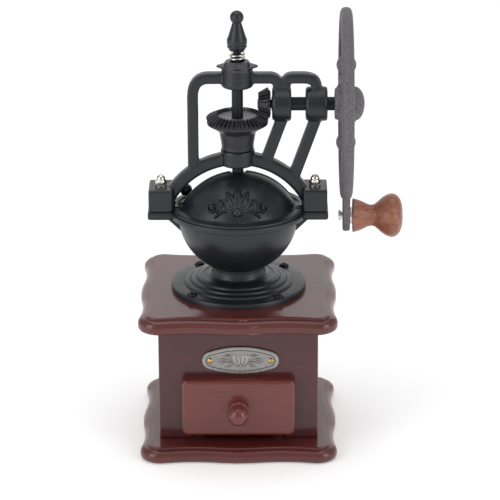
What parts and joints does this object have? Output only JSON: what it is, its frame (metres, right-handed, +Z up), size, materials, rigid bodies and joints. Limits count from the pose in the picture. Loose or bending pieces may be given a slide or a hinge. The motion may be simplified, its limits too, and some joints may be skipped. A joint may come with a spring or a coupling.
{
  "type": "burr coffee grinder",
  "caption": "Hand-cranked burr coffee mill: cast bowl, yoke with bevel gears and hand wheel on a wooden box with a drawer.",
  "frame": {"origin": "centre of the foot board's underside, below the spindle axis", "axes": "+Z up along the spindle, -Y towards the drawer front, +X towards the hand wheel"},
  "size_m": [0.1594, 0.1224, 0.2673],
  "materials": {
    "mahogany_wood": "brown-red lacquered wood",
    "plain_wood": "unfinished wood",
    "grip_wood": "light brown lacquered wood",
    "enamelled_iron": "satin blue-black enamel on cast iron",
    "wheel_iron": "rough cast, dark painted",
    "gear_iron": "blackened cast teeth",
    "dark_steel": "blackened steel",
    "sheet_steel": "dark plated sheet",
    "nickel": "bright nickel",
    "black_screw": "black oxide",
    "pewter": "cast pewter grey",
    "brass": "brass",
    "bronze": "sintered bronze",
    "burr_steel": "hardened steel",
    "black_plastic": "black moulded"
  },
  "bodies": {
    "frame": {"base_plate": "mahogany_wood", "top_plate": "mahogany_wood", "front_panel": "mahogany_wood", "rear_panel": "mahogany_wood", "left_panel": "mahogany_wood", "right_panel": "mahogany_wood", "left_runner": "plain_wood", "right_runner": "plain_wood", "hopper_bowl": "enamelled_iron", "yoke_frame": "enamelled_iron", "front_dome": "enamelled_iron", "detent_plate": "sheet_steel", "adjuster_ring": "sheet_steel", "adjuster_spring": "nickel", "yoke_cap_nuts": "nickel", "yoke_washers": "nickel", "yoke_bolts": "nickel", "flange_screws": "black_screw", "dome_screws": "black_screw", "burr_screws": "black_screw", "box_screws": "black_screw", "nameplate": "pewter", "nameplate_nails": "brass", "shaft_bushings": "bronze", "spindle_bushings": "bronze", "outer_burr": "burr_steel"},
    "drawer": {"drawer_front": "mahogany_wood", "drawer_left_side": "plain_wood", "drawer_right_side": "plain_wood", "drawer_back": "plain_wood", "drawer_bottom": "plain_wood", "drawer_knob": "mahogany_wood", "knob_screw": "black_screw"},
    "crank": {"drive_shaft": "dark_steel", "pinion_gear": "gear_iron", "pinion_pin": "gear_iron", "hand_wheel": "wheel_iron", "wheel_cap_nut": "wheel_iron", "grip_bolt": "nickel", "grip_washer": "nickel"},
    "grip": {"hand_grip": "grip_wood"},
    "spindle_gear": {"crown_gear": "gear_iron", "gear_key": "gear_iron"},
    "spindle": {"spindle": "dark_steel", "inner_burr": "burr_steel", "burr_washer": "burr_steel", "burr_nut": "burr_steel"},
    "adjuster": {"finial_nut": "dark_steel"},
    "lid_door": {"rear_door": "enamelled_iron", "door_knob": "black_plastic"}
  },
  "joints": [
    {"name": "crank_turn", "type": "hinge", "parent": "frame", "child": "crank", "pos_m": [0.065, 0, 0.2096], "axis": [1, 0, 0], "continuous": true},
    {"name": "grip_spin", "type": "hinge", "parent": "crank", "child": "grip", "pos_m": [0.08, 0, 0.1387], "axis": [1, 0, 0], "continuous": true},
    {"name": "spindle_turn", "type": "hinge", "parent": "frame", "child": "spindle_gear", "pos_m": [0, 0, 0.195], "axis": [0, 0, 1], "continuous": true},
    {"name": "adjuster_turn", "type": "hinge", "parent": "spindle_gear", "child": "adjuster", "pos_m": [0, 0, 0.255], "axis": [0, 0, 1], "range_deg": [-90, 450]},
    {"name": "burr_lift", "type": "slide", "parent": "spindle_gear", "child": "spindle", "axis": [0, 0, 1], "range_m": [-0.00125, 0.00025]},
    {"name": "drawer_slide", "type": "slide", "parent": "frame", "child": "drawer", "axis": [0, -1, 0], "range_m": [0, 0.055]},
    {"name": "door_turn", "type": "hinge", "parent": "frame", "child": "lid_door", "pos_m": [0, 0, 0.15], "axis": [0, 0, -1], "range_deg": [0, 143]}
  ],
  "couplings": [
    {"joint": "spindle_turn", "follows": "crank_turn", "ratio": 0.5},
    {"joint": "adjuster_turn", "follows": "burr_lift", "rad_per_m": -6283.2}
  ]
}
